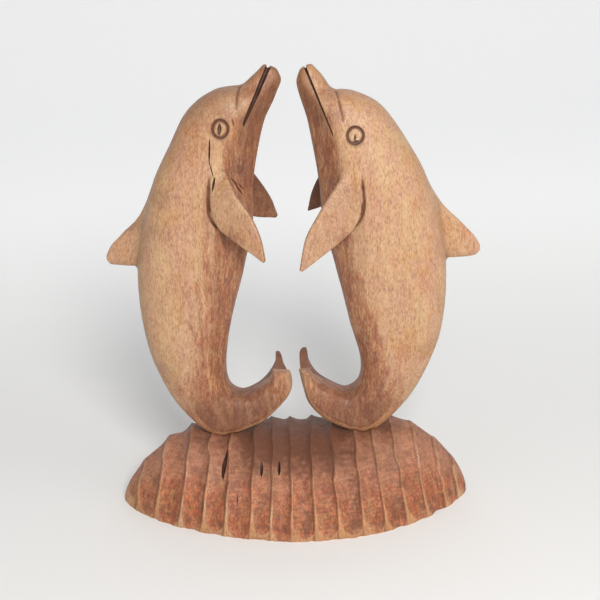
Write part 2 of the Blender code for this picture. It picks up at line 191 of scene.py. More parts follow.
# patches of colour on the near faces: place and reach in the frame, which pot of stain, how strong; some pale ones, as
# on the left melon, are painted highlights
PATCHES = (
    (209, 98, 10, 6, "amber", 0.9), (229, 103, 9, 7, "pale", 0.55), (205, 117, 9, 10, "pale", 0.45),
    (242, 129, 6, 12, "red", 0.7), (239, 167, 7, 10, "mauve", 1.0), (229, 151, 7, 13, "red", 0.45),
    (218, 152, 4, 15, "pale", 0.4), (207, 199, 4, 16, "red", 0.55), (164, 199, 13, 11, "mauve", 0.5),
    (227, 240, 14, 10, "red", 0.8), (158, 232, 11, 8, "mauve", 0.4), (186, 240, 9, 22, "pale", 0.4),
    (252, 78, 5, 12, "amber", 0.6), (263, 75, 4, 10, "red", 0.6), (131, 226, 10, 8, "mauve", 0.45),
    (120, 250, 10, 9, "amber", 0.4), (213, 290, 5, 30, "red", 0.35), (173, 300, 8, 14, "pale", 0.4),
    (183, 345, 10, 14, "pale", 0.45), (206, 352, 6, 18, "red", 0.45), (187, 390, 9, 10, "amber", 0.5),
    (225, 377, 8, 9, "red", 0.8), (262, 402, 9, 7, "mauve", 0.55), (238, 397, 9, 7, "red", 0.6),
    (379, 103, 9, 6, "amber", 0.9), (351, 158, 8, 12, "amber", 0.75), (333, 183, 7, 8, "mauve", 1.0),
    (337, 116, 5, 12, "mauve", 0.6), (320, 139, 4, 14, "mauve", 0.5), (331, 166, 5, 12, "red", 0.7),
    (414, 208, 7, 8, "amber", 0.9), (463, 229, 10, 9, "amber", 0.8), (395, 258, 8, 13, "amber", 0.7),
    (347, 238, 9, 7, "red", 0.8), (379, 154, 12, 13, "pale", 0.45), (424, 290, 8, 14, "amber", 0.6),
    (322, 218, 12, 16, "amber", 0.35), (384, 310, 10, 20, "pale", 0.35), (405, 350, 8, 18, "amber", 0.35),
    (354, 392, 9, 9, "red", 0.85), (378, 388, 7, 10, "red", 0.7), (324, 390, 6, 10, "mauve", 0.7),
    (365, 345, 5, 20, "red", 0.5), (340, 405, 12, 5, "amber", 0.4), (300, 100, 4, 14, "red", 0.4),
)

TRIANGLES = 196000             # of the finished piece


# ------------------------------------------------------------------ helpers
def hashed(ix, iy, iz, seed):
    n = (ix * 73856093) ^ (iy * 19349663) ^ (iz * 83492791) ^ (seed * 2654435761 % 2147483647)
    n = (n ^ (n >> 13)) * 1274126177
    n = n ^ (n >> 16)
    return (n & 0xFFFFF).astype(float) / 0xFFFFF


def value_noise(p, seed=1):
    """Smooth noise from 0 to 1 at points p, one cell a unit."""
    cell = np.floor(p).astype(np.int64)
    f = p - cell
    f = f * f * f * (f * (f * 6 - 15) + 10)
    out = 0.0
    for dx in (0, 1):
        wx = f[:, 0] if dx else 1 - f[:, 0]
        for dy in (0, 1):
            wy = f[:, 1] if dy else 1 - f[:, 1]
            for dz in (0, 1):
                wz = f[:, 2] if dz else 1 - f[:, 2]
                out = out + wx * wy * wz * hashed(cell[:, 0] + dx, cell[:, 1] + dy, cell[:, 2] + dz, seed)
    return out


def fractal(p, octaves, seed=1):
    total, weight = 0.0, 0.0
    for k in range(octaves):
        total = total + value_noise(p * 2**k, seed + 17 * k) * 0.55**k
        weight += 0.55**k
    return total / weight


def step(low, high, x):
    t = np.clip((x - low) / (high - low), 0, 1)
    return t * t * (3 - 2 * t)


def bezier(points, t):
    points = [Vector(p) for p in points]
    while len(points) > 1:
        points = [a.lerp(b, t) for a, b in zip(points, points[1:])]
    return points[0]


def mesh_object(name, verts, faces, slot=0):
    """An object from points in millimetres, its faces turned outwards."""
    mesh = bpy.data.meshes.new(name)
    mesh.from_pydata((np.asarray(verts) * MM).tolist(), [], faces)
    bm = bmesh.new()
    bm.from_mesh(mesh)
    bmesh.ops.recalc_face_normals(bm, faces=bm.faces[:])
    if bm.calc_volume(signed=True) < 0:
        bmesh.ops.reverse_faces(bm, faces=bm.faces[:])
    bmesh.ops.triangulate(bm, faces=[f for f in bm.faces if len(f.verts) > 4])
    for f in bm.faces:
        f.material_index = slot
    bm.to_mesh(mesh)
    bm.free()
    obj = bpy.data.objects.new(name, mesh)
    bpy.context.scene.collection.objects.link(obj)
    for material in finishes:
        mesh.materials.append(material)
    return obj


def loft(name, rings, slot=0):
    rings = np.asarray([[list(p) for p in ring] for ring in rings] if not isinstance(rings, np.ndarray) else rings)
    n, k = rings.shape[:2]
    i = (np.arange(n - 1) * k)[:, None]
    j = np.arange(k)[None, :]
    jn = (j + 1) % k
    quads = np.stack([i + j, i + jn, i + k + jn, i + k + j], -1).reshape(-1, 4).tolist()
    caps = [list(range(k))[::-1], list(range((n - 1) * k, n * k))]
    return mesh_object(name, rings.reshape(-1, 3), quads + caps, slot)


def settle(obj):
    """The object's modifiers worked into its mesh."""
    made = bpy.data.meshes.new_from_object(obj.evaluated_get(bpy.context.evaluated_depsgraph_get()))
    old = obj.data
    obj.modifiers.clear()
    obj.data = made
    bpy.data.meshes.remove(old)
    return obj


def boolean(obj, others, operation):
    """Joins or cuts obj with the others, which are then removed."""
    for other in others:
        before = (len(obj.data.vertices), len(obj.data.polygons))
        for solver in ("MANIFOLD", "EXACT"):
            modifier = obj.modifiers.new("carve", "BOOLEAN")
            modifier.operation = operation
            modifier.object = other
            modifier.solver = solver
            settle(obj)
            if (len(obj.data.vertices), len(obj.data.polygons)) != before and len(obj.data.polygons) > 100:
                break
            print("the", solver, "solver changed nothing for", other.name)
        bpy.data.objects.remove(other, do_unlink=True)
    return obj


def points_of(mesh):
    co = np.empty(len(mesh.vertices) * 3)
    mesh.vertices.foreach_get("co", co)
    return co.reshape(-1, 3) / MM


def normals_of(mesh):
    n = np.empty(len(mesh.vertices) * 3)
    mesh.vertices.foreach_get("normal", n)
    return n.reshape(-1, 3)


def move_points(mesh, points):
    mesh.vertices.foreach_set("co", (points * MM).reshape(-1))
    mesh.update()


def edges_of(mesh):
    e = np.empty(len(mesh.edges) * 2, np.int64)
    mesh.edges.foreach_get("vertices", e)
    return e.reshape(-1, 2)


def relaxed(points, edges, times, weight=None):
    """Points drawn towards the mean of their neighbours."""
    if weight is not None:          # only the weighted points and their neighbours are worked
        busy = weight > 0
        inner = edges[busy[edges[:, 0]] | busy[edges[:, 1]]]
        used, where = np.unique(inner, return_inverse=True)
        out = points.copy()
        moved = relaxed_all(points[used], where.reshape(-1, 2), times, weight[used])
        out[used] = moved
        return out
    return relaxed_all(points, edges, times, np.ones(len(points)))


def relaxed_all(points, edges, times, weight):
    a = np.concatenate([edges[:, 0], edges[:, 1]])
    b = np.concatenate([edges[:, 1], edges[:, 0]])
    count = np.maximum(np.bincount(a, minlength=len(points)), 1)[:, None]
    share = 0.6 * weight[:, None]
    p = points.copy()
    for _ in range(times):
        mean = np.stack([np.bincount(a, weights=p[b, k], minlength=len(p)) for k in range(3)], 1) / count
        p += (mean - p) * share
    return p


def tree_of(mesh):
    bm = bmesh.new()
    bm.from_mesh(mesh)
    tree = BVHTree.FromBMesh(bm)
    bm.free()
    return tree


def distance_to(tree, points, most=8.0):
    """Millimetres from each point to the tree's skin, at most the given distance."""
    out = np.full(len(points), most)
    for k, p in enumerate(points):
        hit = tree.find_nearest(Vector(p) * MM, most * MM)
        if hit[0] is not None:
            out[k] = hit[3] / MM
    return out


def line_distance(u, z, line):
    """Distance in the plane of the picture from a broken line, and how far along it, 0 to 1."""
    line = np.asarray(line, float)
    lengths = np.hypot(*np.diff(line, axis=0).T)
    total, run = lengths.sum(), 0.0
    best, where = np.full(len(u), 1e9), np.zeros(len(u))
    for (a, b), length in zip(zip(line, line[1:]), lengths):
        d = (b - a) / length
        s = np.clip((u - a[0]) * d[0] + (z - a[1]) * d[1], 0, length)
        away = np.hypot(u - a[0] - s * d[0], z - a[1] - s * d[1])
        nearer = away < best
        best[nearer] = away[nearer]
        where[nearer] = (run + s[nearer]) / total
        run += length
    return best, where


def smooth_line(line, count=24):
    """A smooth curve through the points of a line."""
    p = np.asarray(line, float)
    p = np.vstack([2 * p[0] - p[1], p, 2 * p[-1] - p[-2]])
    out = []
    for t in np.linspace(0, len(line) - 1.001, count):
        i, f = int(t), t - int(t)
        a, b, c, d = p[i:i + 4]
        out.append(0.5 * (2 * b + (c - a) * f + (2 * a - 5 * b + 4 * c - d) * f * f
                          + (3 * b - a - 3 * c + d) * f**3))
    return np.array(out)


finishes = [bpy.data.materials.new(n) for n in ("carved_hardwood", "carved_hardwood_mound", "carved_hardwood_cut")]


def frame_places(p):
    """Where points in millimetres fall in the 600 by 600 frame."""
    away = p * MM - np.array(eye_point)
    deep = away @ np.array(look)
    return 300 + FOCAL * (away @ np.array(right)) / deep, 300 - FOCAL * (away @ np.array(up)) / deep


# ---------------------------------------------------------------- the mound
def mound_half_depth(t):
    lens = np.maximum(0.0, 1 - np.abs(t) ** PLAN_POWERS[0]) ** PLAN_POWERS[1]
    return MOUND_DEPTH / 2 * lens * (1 + PLAN_LEAN * np.sin(math.pi * t))


def mound_height(t):
    t = np.asarray(t, float)
    out = np.zeros_like(t)
    for brow, side in ((BROW_LEFT, t <= 0), (BROW_RIGHT, t > 0)):
        start, bend, fall = brow
        s = np.maximum(0.0, (np.abs(t) - start) / (1 - start))
        out = np.where(side, MOUND_HEIGHT * np.maximum(0.0, 1 - s**bend) ** fall, out)
    return out - SADDLE * np.exp(-((t * MOUND_LENGTH / 2 / SADDLE_HALF) ** 2))


def flute_at(x):
    """For a place along the foot: which flute, how far across it (0 to 1), and its width."""
    edges = np.array((-MOUND_LENGTH / 2,) + RIDGES + (MOUND_LENGTH / 2,))
    i = np.clip(np.searchsorted(edges, x, side="right") - 1, 0, len(edges) - 2)
    width = edges[i + 1] - edges[i]
    return i, (x - edges[i]) / width, width


def flute_profile(s, width):
    """Depth of the gouge cut, leaning so that its steep flank is on the +X side."""
    q = s + GOUGE_LEAN * s * (1 - s) * -1.6
    return (1 - (2 * q - 1) ** 2) * width**2 / (8 * GOUGE_RADIUS)


def runout(height, x):
    """How much shallower a flute is at a height above the foot."""
    ends = step(66.0, 96.0, x) * 0.75
    out = 0.0
    for start, amount in RUNOUT:
        out = out + amount * np.clip(1 - height / start, 0, 1) ** 1.2
    return out * (1 - ends)


def build_mound():
    half = MOUND_LENGTH / 2
    edges = (-half,) + RIDGES + (half,)
    places = []
    for a, b in zip(edges, edges[1:]):
        count = max(10, int((b - a) / 0.8))
        s = np.linspace(0, 1, count, endpoint=False)
        s = s - 0.045 * np.sin(2 * math.pi * s) / (2 * math.pi) * 4      # closer near the ridges
        places.extend(a + (b - a) * s)
    t = np.array(places) / half
    t = np.concatenate([[-0.9975], t[np.abs(t) < 0.995], [0.9975]])
    x = t * half
    # each ridge wanders a little up the mound, as a hand-pushed gouge does
    near = np.radians(np.concatenate([np.arange(0, 8, 0.45), np.arange(8, 92, 0.62)]))
    far = np.radians(np.arange(92, 180.01, 1.1))
    a = np.concatenate([near, far[:-1], [math.pi]])
    T, A = np.meshgrid(t, a, indexing="ij")
    X = T * half
    rise_of = np.sin(A)
    depth, height = mound_half_depth(T), mound_height(T)
    wander = 3.2 * (value_noise(np.stack([X.ravel() / 9, A.ravel() * 4.4, 0 * X.ravel()], 1), 5).reshape(X.shape) - 0.5)
    number, s, width = flute_at(np.clip(X + wander * rise_of, -half + 0.01, half - 0.01))
    cut = flute_profile(s, width)
    level_z = height * rise_of
    wobble = fractal(np.stack([X.ravel() / 7, A.ravel() * 9, number.ravel() * 3.7], 1), 3, 8).reshape(X.shape) - 0.5
    cut = cut * (1 - 0.5 * step(58, 84, X) * step(0.4, 0.85, rise_of)) * (1 + 0.35 * step(78, 98, X) * step(0.5, 0.2, rise_of))
    deep = cut * (1 + 0.45 * wobble) - runout(level_z, X) * (1 + 1.2 * (value_noise(
        np.stack([number.ravel() * 1.7, 0 * X.ravel(), 0 * X.ravel()], 1), 3).reshape(X.shape) - 0.5))
    room = np.minimum(1.0, (1 - np.abs(T)) / 0.05)
    # soft clip, so a run-out is rounded and the uncut wood between stands proud
    deep = room * 0.5 * (deep + np.sqrt(deep**2 + 0.02)) - 0.05
    # fine work: shallow steps where the gouge was pushed on, and chips along the foot
    bites = 0.16 * (value_noise(np.stack([number.ravel() * 5.3, A.ravel() * 22, X.ravel() / 11], 1), 12).reshape(X.shape) - 0.5)
    bites = bites - 0.32 * np.exp(-((np.minimum(s, 1 - s) * width) / 0.6) ** 2) * room      # a thin lip along each ridge
    foot = np.clip(1 - level_z / 3.2, 0, 1)
    chips = foot * 1.9 * np.maximum(0, fractal(np.stack([X.ravel() / 5.2, A.ravel() * 6, 0 * X.ravel()], 1), 2, 21).reshape(X.shape) - 0.46)
    deep = deep + bites + chips * 2.0 + foot**2 * 0.5
    Y = -(depth - deep * np.abs(np.cos(A))) * np.cos(A)
    Z = np.maximum(0.0, (height - deep) * rise_of)
    spread = 1 - FAN * rise_of * (1 - np.abs(T) ** 6)
    rings = np.stack([X * spread, Y, Z], -1)
    return loft("mound", rings, 1)


def mound_paint(p):
    """For points on the mound: nearness to a ridge, share left uncut, height share."""
    half = MOUND_LENGTH / 2
    t = np.clip(p[:, 0] / half, -0.99, 0.99)
    for _ in range(6):
        h = np.maximum(mound_height(t), 1.0)
        up_share = np.clip(p[:, 2] / h, 0, 1)
        t = np.clip(p[:, 0] / half / (1 - FAN * up_share * (1 - np.abs(t) ** 6)), -0.995, 0.995)
    x = t * half
    a = np.where(p[:, 1] < 0, np.arcsin(up_share), math.pi - np.arcsin(up_share))
    wander = 3.2 * (value_noise(np.stack([x / 9, a * 4.4, 0 * x], 1), 5) - 0.5)
    number, s, width = flute_at(np.clip(x + wander * up_share, -half + 0.01, half - 0.01))
    cut = flute_profile(s, width)
    noise = 1 + 1.2 * (value_noise(np.stack([number * 1.7, 0 * x, 0 * x], 1), 3) - 0.5)
    left = cut - runout(h * up_share, x) * noise
    ridge = np.exp(-((np.minimum(s, 1 - s) * width) / 0.42) ** 2)
    # the flank just -X of a ridge, painted dark as shade: it faces away from the light at +X
    flank = np.exp(-(((1 - s) * width - 1.15) / 0.55) ** 2)
    uncut = step(0.25, -0.25, left) * (1 - step(20, 30, p[:, 2]))
    return ridge, flank, uncut, up_share, number


# ------------------------------------------------------------- the dolphins
def body_rings(stations, side, lean):
    rows = np.array([[*back, *belly, *more] for back, belly, *more in stations.values()], float)
    gaps = (np.hypot(*(rows[1:, :2] - rows[:-1, :2]).T) + np.hypot(*(rows[1:, 2:4] - rows[:-1, 2:4]).T)) / 2
    knots = np.concatenate([[0], np.cumsum(gaps)])
    t = np.linspace(0, knots[-1], BODY_RINGS + 1)
    i = np.clip(np.searchsorted(knots, t, side="right") - 1, 0, len(knots) - 2)
    span = (knots[i + 1] - knots[i])[:, None]
    f = (t[:, None] - knots[i][:, None]) / span
    before = np.maximum(np.arange(len(rows)) - 1, 0)
    after = np.minimum(np.arange(len(rows)) + 1, len(rows) - 1)
    slope = (rows[after] - rows[before]) / (knots[after] - knots[before])[:, None]
    rows = ((2 * f**3 - 3 * f**2 + 1) * rows[i] + (f**3 - 2 * f**2 + f) * span * slope[i]
            + (-2 * f**3 + 3 * f**2) * rows[i + 1] + (f**3 - f**2) * span * slope[i + 1])
    # a rounded snout ahead of the first ring
    lead = []
    for k in range(7):
        q = math.cos(k / 7 * math.pi / 2)
        lead.append((rows[0].copy(), max(0.12, math.sin((k + 0.6) / 7.6 * math.pi / 2)), 1.5 * q))
    rings = [section(row, side, grow, lean) + np.array([0, 0, lift]) for row, grow, lift in lead]
    return np.array(rings + [section(row, side, 1.0, lean) for row in rows])


def flat_cut(c, s, normal, limit, soft=0.055):
    """Section points beyond a plane drawn back onto it, on both sides of the figure."""
    over = normal[0] * c + normal[1] * np.abs(s) - limit
    over = 0.5 * (over + np.sqrt(over**2 + soft**2))
    return c - normal[0] * over, s - np.sign(s) * normal[1] * over


def section(row, side, grow, lean):
    back = np.array([side * row[0], 0, row[1]])
    belly = np.array([side * row[2], 0, row[3]])
    centre, reach = (back + belly) / 2, (back - belly) / 2
    length = np.linalg.norm(reach)
    a = 2 * math.pi * np.arange(BODY_SIDES) / BODY_SIDES
    n = row[5]
    c = np.sign(np.cos(a)) * np.abs(np.cos(a)) ** (2 / n)
    s = np.sign(np.sin(a)) * np.abs(np.sin(a)) ** (2 / n)
    for width, normal in ((row[7], (-0.80, 0.60)), (row[8], (0.55, 0.835))):
        if width > 1.0:
            at = min(0.98, max(-0.6, 1 - width / length))          # where the flat starts, in section terms
            edge = (1 - abs(at) ** n) ** (1 / n)
            limit = abs(normal[0]) * at + normal[1] * edge
            fade = min(1.0, (width - 1.0) / 2.0)
            c2, s2 = flat_cut(c, s, normal, limit)
            c, s = c + (c2 - c) * fade, s + (s2 - s) * fade
    thin = row[6] * np.clip(3.0 * s, 0, 1)
    c = c * (1 - thin) + lean * thin
    ring = centre + reach * c[:, None] * grow
    ring[:, 1] += row[4] * s * grow
    return ring


def fluke_cut(name, stations, side, tops):
    """The notch between the two lobes, with the flat ends of the lobes."""
    low = max(stations["fluke_end"][0][1], stations["fluke_end"][1][1]) - FLUKE_NOTCH_DEPTH
    rings = []
    for x in np.linspace(-14.0, 32.0, 6):
        ring = []
        for y in np.linspace(-28, 28, 57):
            flat = tops[0] + (tops[1] - tops[0]) * min(1, max(0, (y + 16) / 32)) + LOBE_TOP_SLOPE * (x - 1.4)
            ring.append((side * x, y, min(flat, low + FLUKE_NOTCH_DEPTH * (abs(y) / FLUKE_NOTCH_HALF_WIDTH) ** 0.9)))
        rings.append(ring + [(side * x, 28, 125), (side * x, -28, 125)])
    return loft(name, rings)


def oblong(count, n):
    a = 2 * math.pi * np.arange(count) / count
    return list(zip(np.sign(np.cos(a)) * np.abs(np.cos(a)) ** (2 / n), np.sign(np.sin(a)) * np.abs(np.sin(a)) ** (2 / n)))


def build_fin(name, fin, side):
    steps = 48
    tops, lows = smooth_line(fin["top"], steps), smooth_line(fin["low"], steps)
    rings = []
    for k in range(steps):
        t = k / (steps - 1)
        half = FIN_ROOT_HALF + (FIN_TIP_HALF - FIN_ROOT_HALF) * t**0.8
        middle, reach = (tops[k] + lows[k]) / 2, (tops[k] - lows[k]) / 2
        ring = []
        for c, s in oblong(44, 2.6):
            at = middle + reach * c
            ring.append((side * at[0], half * (0.8 - 0.2 * c) * s, at[1]))       # the leading edge is the finer one
        rings.append(ring)
    return loft(name, rings)


def build_flipper(name, flipper, side):
    steps = 64
    lead, trail = (smooth_line(flipper[edge], steps) for edge in ("lead", "trail"))
    rings = []
    for k in range(steps):
        t = k / (steps - 1)
        a, b = (Vector((side * q[0], q[2], q[1])) for q in (lead[k], trail[k]))
        ahead = Vector(lead[min(k + 1, steps - 1)] - lead[max(k - 1, 0)])
        span = (a - b) / 2
        across = span.cross(Vector((side * ahead.x, ahead.z, ahead.y))).normalized()
        half = FLIPPER_ROOT_HALF + (FLIPPER_TIP_HALF - FLIPPER_ROOT_HALF) * t
        rings.append([(a + b) / 2 + span * c + across * half * s * (0.82 + 0.18 * c) for c, s in oblong(56, 3.6)])
    return loft(name, rings)


def skin_point(tree, x, z, face):
    start = Vector((x * MM, face * 0.2, z * MM))
    place, normal, _, _ = tree.ray_cast(start, Vector((0, -face, 0)))
    return (place / MM, normal) if place else (None, None)


def mouth_cut(name, mouth, side, face, tree):
    rings = []
    steps = 40
    last = 4.0 * face
    for k in range(steps + 1):
        t = k / steps
        at = bezier(mouth["line"], t)
        ahead = bezier(mouth["line"], min(1.0, t + 0.02)) - bezier(mouth["line"], max(0.0, t - 0.02))
        across = Vector((side * -ahead.y, 0, ahead.x)).normalized()
        place, _ = skin_point(tree, side * at.x, at.y, face)
        if place:
            last = place.y
        deep = mouth["depth"] * (1 - 0.6 * t) + 6.0 * max(0.0, 1 - t / 0.16)
        end = math.sqrt(max(0.06, 1 - max(0.0, (t - 0.9) / 0.1) ** 2))
        inner, outer = last - face * deep, last + face * 8
        centre = Vector((side * at.x, 0, at.y))
        wide = mouth["width"] * (0.85 + 0.45 * (1 - t)) * end
        ring = []
        for v in np.linspace(-1, 1, 9):
            ring.append(centre + across * wide * v + Vector((0, inner + (last - inner) * face * face * abs(v) ** 2.2, 0)))
        ring.append(centre + across * wide * 1.35 + Vector((0, outer, 0)))
        ring.append(centre - across * wide * 1.35 + Vector((0, outer, 0)))
        rings.append(ring)
    return loft(name, rings, 2)


eye_places = []


def eye_frame(eye, side, face, tree):
    place, normal = skin_point(tree, side * eye[0], eye[1], face)
    x_axis = Vector((1, 0, 0))
    x_axis = (x_axis - normal * x_axis.dot(normal)).normalized()
    z_axis = x_axis.cross(normal) * -1
    if z_axis.z < 0:
        z_axis = -z_axis
    return place, normal, x_axis, z_axis


def eye_ring_cut(name, eye, side, face, tree, size, wobble):
    """Turned cutter: a domed disc left standing inside a round-bottomed groove."""
    place, normal, x_axis, z_axis = eye_frame(eye, side, face, tree)
    profile = ((0.0, 0.25), (0.35, 0.14), (0.54, -0.08), (0.63, -0.35), (0.69, -0.95), (0.76, -1.4), (0.84, -1.35),
               (0.91, -0.85), (0.97, -0.2), (1.0, 0.4), (1.0, 4.0), (0.0, 4.0))
    eye_places.append((place, x_axis, z_axis, size))
    count = 56
    verts, faces = [], []
    for k in range(count):
        a = 2 * math.pi * k / count
        out = 1 + wobble * (0.05 * math.sin(2 * a + 0.7) + 0.03 * math.sin(3 * a + 2.0))
        for r, h in profile[1:-1]:
            verts.append(place + x_axis * math.cos(a) * r * size[0] * out + z_axis * math.sin(a) * r * size[1] * out
                         + normal * h)
    low, high = len(verts), len(verts) + 1
    verts += [place + normal * profile[0][1], place + normal * profile[-1][1]]
    m = len(profile) - 2
    for k in range(count):
        j = (k + 1) % count
        for q in range(m - 1):
            faces.append((k * m + q, j * m + q, j * m + q + 1, k * m + q + 1))
        faces.append((k * m, j * m, low))
        faces.append((k * m + m - 1, j * m + m - 1, high))
    return mesh_object(name, [list(v) for v in verts], faces, 0)


def lens_cut(name, place, normal, along, length, width, deep, slot=2):
    """A slit that is widest in the middle, as a knife point or a check in the wood leaves."""
    normal = normal.normalized()
    along = (along - normal * along.dot(normal)).normalized()
    across = along.cross(normal).normalized()
    rings = []
    for k in range(15):
        t = -1 + 2 * k / 14
        half = width / 2 * max(0.02, (1 - t * t)) ** 0.8
        low = -deep * max(0.1, 1 - t * t) ** 0.5
        centre = place + along * t * length / 2
        rings.append([
            centre + across * half + normal * 0.0, centre + across * half * 1.5 + normal * 3.0,
            centre - across * half * 1.5 + normal * 3.0, centre - across * half + normal * 0.0,
            centre - across * half * 0.5 + normal * low, centre + across * half * 0.5 + normal * low,
        ])
    return loft(name, rings, slot)


def pupil_cuts(label, eye, side, face, tree):
    place, normal, x_axis, z_axis = eye_frame(eye, side, face, tree)
    if label.startswith("left"):
        return [lens_cut(label + "_pupil", place - z_axis * 0.1 - x_axis * side * -0.4, normal,
                         z_axis + x_axis * 0.08, 7.6, 2.6, 1.3)]
    return [
        lens_cut(label + "_pupil", place - z_axis * 1.7 - x_axis * 0.2, normal, z_axis + x_axis * 0.05, 5.6, 1.2, 1.2),
        lens_cut(label + "_lid", place - z_axis * 3.9 + x_axis * 0.5, normal, x_axis + z_axis * 0.15, 6.0, 2.1, 1.2),
    ]


def build_dolphin(label, side, stations, fin, near, far, mouth, eye, brow_line, flipper_line):
    body = loft(label + "_body", body_rings(stations, side, FAR_LOBE_LEAN[label]))
    body_tree = tree_of(body.data)
    fin_part = build_fin(label + "_fin", fin, side)
    fin_tree = tree_of(fin_part.data)
    blades = [build_flipper(label + "_near_flipper", near, side), build_flipper(label + "_far_flipper", far, side)]
    blade_trees = [tree_of(b.data) for b in blades]
    boolean(body, [fin_part] + blades, "UNION")
    fine = body.modifiers.new("fine", "REMESH")
    fine.mode = "VOXEL"
    fine.voxel_size = 0.00062
    settle(body)
    mesh = body.data
    p = points_of(mesh)
    edges = edges_of(mesh)
    p = relaxed(p, edges, 2)
    u, y, z = side * p[:, 0], p[:, 1], p[:, 2]

    # soften the joins: the fin all round, the flippers where they leave the body
    weight = np.zeros(len(p))
    fin_zone = (z > 158) & (z < 226) & (u > 72)
    d = distance_to(fin_tree, p[fin_zone], 12.0) + distance_to(body_tree, p[fin_zone], 12.0)
    weight[fin_zone] = np.maximum(step(11.0, 3.0, d) * step(170, 182, z[fin_zone]), 0.35 * step(4.0, 1.0, d))
    p = relaxed(p, edges, 170, weight)
    weight[:] = 0
    for blade_tree, face in zip(blade_trees, (-1, 1)):
        zone = (z > 212) & (z < 246) & (u < 56) & (y * face > 6)
        d = distance_to(blade_tree, p[zone]) + distance_to(body_tree, p[zone])
        w = step(5.0, 1.0, d) * step(213, 224, z[zone])
        weight[zone] = np.maximum(weight[zone], w)
    p = relaxed(p, edges, 45, weight)
    move_points(mesh, p)
    n = normals_of(mesh)

    # knife work and long shallow tool facets
    u, y, z = side * p[:, 0], p[:, 1], p[:, 2]
    dig = np.zeros(len(p))
    q = np.stack([p[:, 0] / 15, p[:, 1] / 15, p[:, 2] / 34], 1)
    dig += 0.55 * (fractal(q + 3.1 * side, 2, 31) - 0.5)
    q = np.stack([p[:, 0] / 4.5, p[:, 1] / 4.5, p[:, 2] / 9], 1)
    dig += 0.13 * (fractal(q, 2, 47) - 0.5)
    line = smooth_line(brow_line)
    away, where = line_distance(u, z, line)
    shape = np.exp(-(away / 0.95) ** 2) * np.sin(np.clip(where * 0.92 + 0.08, 0, 1) * math.pi) ** 0.6
    dig += 0.95 * shape * (np.abs(y) > 3)
    line = smooth_line(flipper_line)
    away, where = line_distance(u, z, line)
    zone = (away < 5) & (y < 0)
    on_body = np.zeros(len(p))
    on_body[zone] = step(0.9, 0.3, distance_to(body_tree, p[zone], 3.0))
    ends = step(0.0, 0.22, where) * step(1.0, 0.8, where)
    dig += (1.7 * np.exp(-(away / 0.85) ** 2) + 0.4 * np.exp(-(away / 2.2) ** 2)) * on_body * ends
    p = p - n * dig[:, None]
    move_points(mesh, p)

    tree = tree_of(mesh)
    cutters = [fluke_cut(label + "_notch", stations, side, LOBE_TOPS[label])]
    for face_name, face in (("near", -1), ("far", 1)):
        cutters.append(mouth_cut(f"{label}_{face_name}_mouth", mouth, side, face, tree))
        size = (5.7, 6.7) if label == "left" else (5.9, 6.4)
        cutters.append(eye_ring_cut(f"{label}_{face_name}_eye", eye, side, face, tree, size, 1.0))
        cutters.extend(pupil_cuts(f"{label}_{face_name}", eye, side, face, tree))
    boolean(body, cutters, "DIFFERENCE")
    return body


def seen_cut(name, tree, start, end, width, deep, slot=2):
    """A slit between two points of the frame, on whatever surface they show."""
    places = []
    for px, py in (start, end):
        place, normal, _, _ = tree.ray_cast(*seen_ray(px, py))
        places.append((place / MM, normal))
    (a, na), (b, nb) = places
    middle = ((start[0] + end[0]) / 2, (start[1] + end[1]) / 2)
    place, normal, _, _ = tree.ray_cast(*seen_ray(*middle))
    return lens_cut(name, place / MM, (na + nb + normal) / 3, b - a, (b - a).length, width, deep, slot)


def build_pair():
    mound = build_mound()
    tree = tree_of(mound.data)
    boolean(mound, [
        seen_cut("slit_a", tree, (227.4, 448), (222.4, 480), 3.3, 3.0),
        seen_cut("slit_b", tree, (261.6, 461), (261.4, 477), 2.1, 3.0),
        seen_cut("slit_c", tree, (279.3, 461), (279.0, 476), 2.0, 3.0),
        seen_cut("slit_d", tree, (238, 494), (237, 506), 0.9, 1.2),
    ], "DIFFERENCE")
    left = build_dolphin("left", -1, LEFT_BODY, LEFT_FIN, LEFT_NEAR, LEFT_FAR, LEFT_MOUTH, LEFT_EYE,
                         LEFT_BROW_LINE, LEFT_FLIPPER_LINE)
    tree = tree_of(left.data)
    boolean(left, [
        seen_cut("check_a", tree, (209.6, 138), (209.2, 166), 1.2, 2.0),
        seen_cut("check_b", tree, (214.9, 177), (212.2, 192), 1.5, 2.0),
        seen_cut("check_c", tree, (209.3, 162), (214.0, 180), 0.7, 1.2),
        seen_cut("nick_a", tree, (231, 178), (238, 186), 1.5, 1.0, 0),
        seen_cut("nick_b", tree, (235, 184), (243, 195), 1.4, 1.0, 0),
        seen_cut("nick_c", tree, (238, 183), (244, 190), 1.1, 0.8, 0),
        seen_cut("eyelid", tree, (231.6, 118), (233.8, 127), 1.5, 0.7, 0),
    ], "DIFFERENCE")
    right_one = build_dolphin("right", 1, RIGHT_BODY, RIGHT_FIN, RIGHT_NEAR, RIGHT_FAR, RIGHT_MOUTH, RIGHT_EYE,
                              RIGHT_BROW_LINE, RIGHT_FLIPPER_LINE)
    pair = boolean(mound, [left, right_one], "UNION")
    pair.name = "carved_dolphin_pair"
    count = sum(len(f.vertices) - 2 for f in pair.data.polygons)
    if count > TRIANGLES:
        thin = pair.modifiers.new("thin", "DECIMATE")
        thin.ratio = TRIANGLES / count * 0.995
        thin.use_collapse_triangulate = True
        settle(pair)
    print("triangles", count, "to", sum(len(f.vertices) - 2 for f in pair.data.polygons))
    return pair


